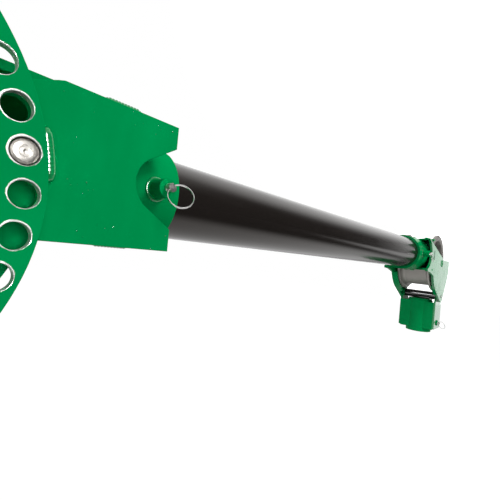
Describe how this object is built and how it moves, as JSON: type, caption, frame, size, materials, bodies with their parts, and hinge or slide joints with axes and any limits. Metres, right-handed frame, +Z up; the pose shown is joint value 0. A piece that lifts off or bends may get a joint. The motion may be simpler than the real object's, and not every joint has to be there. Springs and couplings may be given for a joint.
{
  "type": "mobile pulling boom",
  "caption": "Rope pulling boom: index disc pivot on a mast socket, black tube, sheave head with keeper roller and swinging conduit socket.",
  "frame": {"origin": "centre of the mouth of the mast socket, at its lower rim", "axes": "+X along the level boom towards the sheave head, -Y the side of the plungers, +Z up along the mast"},
  "size_m": [2.3679, 0.274, 0.585],
  "materials": {
    "green_paint": "glossy green enamel",
    "black_tube": "satin black powder coat",
    "black_roller": "glossy black",
    "cast_grey": "matte grey casting",
    "steel": "bright turned steel",
    "bronze": "oiled bronze"
  },
  "bodies": {
    "mast": {"mast_socket_tube": "green_paint", "mast_cap": "green_paint", "near_mast_plate": "green_paint", "far_mast_plate": "green_paint", "hub_tube": "green_paint", "pivot_bushes": "bronze", "arm_top_plate": "green_paint", "arm_front_plate": "green_paint", "arm_bottom_plate": "green_paint", "clamp_nuts": "green_paint", "clamp_bolts": "steel"},
    "boom": {"near_index_disc": "green_paint", "far_index_disc": "green_paint", "near_side_plate": "green_paint", "far_side_plate": "green_paint", "rear_bulkhead": "green_paint", "top_web": "green_paint", "bottom_web": "green_paint", "root_sleeve": "green_paint", "boom_tube": "black_tube", "pivot_shaft": "steel", "shaft_collars": "green_paint", "root_plunger_housing": "green_paint", "root_plunger_spring": "steel"},
    "head": {"head_collar": "green_paint", "near_cheek": "green_paint", "far_cheek": "green_paint", "head_top_web": "green_paint", "head_bottom_web": "green_paint", "head_cross_web": "green_paint", "near_guard_rims": "green_paint", "far_guard_rims": "green_paint", "sheave_axle": "green_paint", "keeper_shaft": "steel", "head_plunger_housing": "green_paint", "head_plunger_spring": "steel", "thrust_washers": "bronze"},
    "conduit_socket": {"conduit_sleeve": "green_paint", "conduit_stop_ring": "green_paint", "near_socket_plate": "green_paint", "far_socket_plate": "green_paint", "near_socket_wing": "green_paint", "far_socket_wing": "green_paint", "socket_plunger_housing": "green_paint", "socket_plunger_spring": "steel"},
    "sheave_wheel": {"sheave": "cast_grey", "sheave_bushes": "bronze"},
    "roller": {"keeper_roller": "black_roller"},
    "pin": {"index_pin": "steel", "index_pin_handle": "steel"},
    "root_plunger_pin": {"root_plunger": "steel"},
    "root_ring": {"root_pull_ring": "steel"},
    "head_plunger_pin": {"head_plunger": "steel"},
    "head_ring": {"head_pull_ring": "steel"},
    "socket_plunger_pin": {"socket_plunger": "steel"},
    "socket_ring": {"socket_pull_ring": "steel"}
  },
  "joints": [
    {"name": "boom_luff", "type": "hinge", "parent": "mast", "child": "boom", "pos_m": [0, 0, 0.33], "axis": [0, -1, 0], "range_deg": [0, 80]},
    {"name": "index_pin_pull", "type": "slide", "parent": "boom", "child": "pin", "axis": [0, 1, 0], "range_m": [0, 0.222]},
    {"name": "root_plunger_pull", "type": "slide", "parent": "boom", "child": "root_plunger_pin", "axis": [0, -1, 0], "range_m": [0, 0.008], "stiffness_N_per_m": 2000, "springref_m": -0.008, "deforming": ["root_plunger_spring"]},
    {"name": "root_ring_swing", "type": "hinge", "parent": "root_plunger_pin", "child": "root_ring", "pos_m": [0.396, -0.107, 0.367], "axis": [0.7071, 0, 0.7071], "range_deg": [-185, 80]},
    {"name": "head_swivel", "type": "hinge", "parent": "boom", "child": "head", "pos_m": [1.712, 0, 0.367], "axis": [1, 0, 0], "continuous": true},
    {"name": "head_plunger_pull", "type": "slide", "parent": "head", "child": "head_plunger_pin", "axis": [0, -1, 0], "range_m": [0, 0.006], "stiffness_N_per_m": 2000, "springref_m": -0.008, "deforming": ["head_plunger_spring"]},
    {"name": "head_ring_swing", "type": "hinge", "parent": "head_plunger_pin", "child": "head_ring", "pos_m": [1.712, -0.103, 0.367], "axis": [1, 0, 0], "range_deg": [-200, 65]},
    {"name": "sheave_spin", "type": "hinge", "parent": "head", "child": "sheave_wheel", "pos_m": [1.965, 0, 0.336], "axis": [0, 1, 0], "continuous": true},
    {"name": "roller_spin", "type": "hinge", "parent": "head", "child": "roller", "pos_m": [2.005, 0, 0.177], "axis": [0, 1, 0], "continuous": true},
    {"name": "socket_swing", "type": "hinge", "parent": "head", "child": "conduit_socket", "pos_m": [2.005, 0, 0.177], "axis": [0, 1, 0], "range_deg": [-35, 35]},
    {"name": "socket_plunger_pull", "type": "slide", "parent": "conduit_socket", "child": "socket_plunger_pin", "axis": [0, -1, 0], "range_m": [0, 0.006], "stiffness_N_per_m": 2000, "springref_m": -0.008, "deforming": ["socket_plunger_spring"]},
    {"name": "socket_ring_swing", "type": "hinge", "parent": "socket_plunger_pin", "child": "socket_ring", "pos_m": [2.005, -0.09, 0.047], "axis": [0.7071, 0, 0.7071], "range_deg": [-145, 57]}
  ]
}
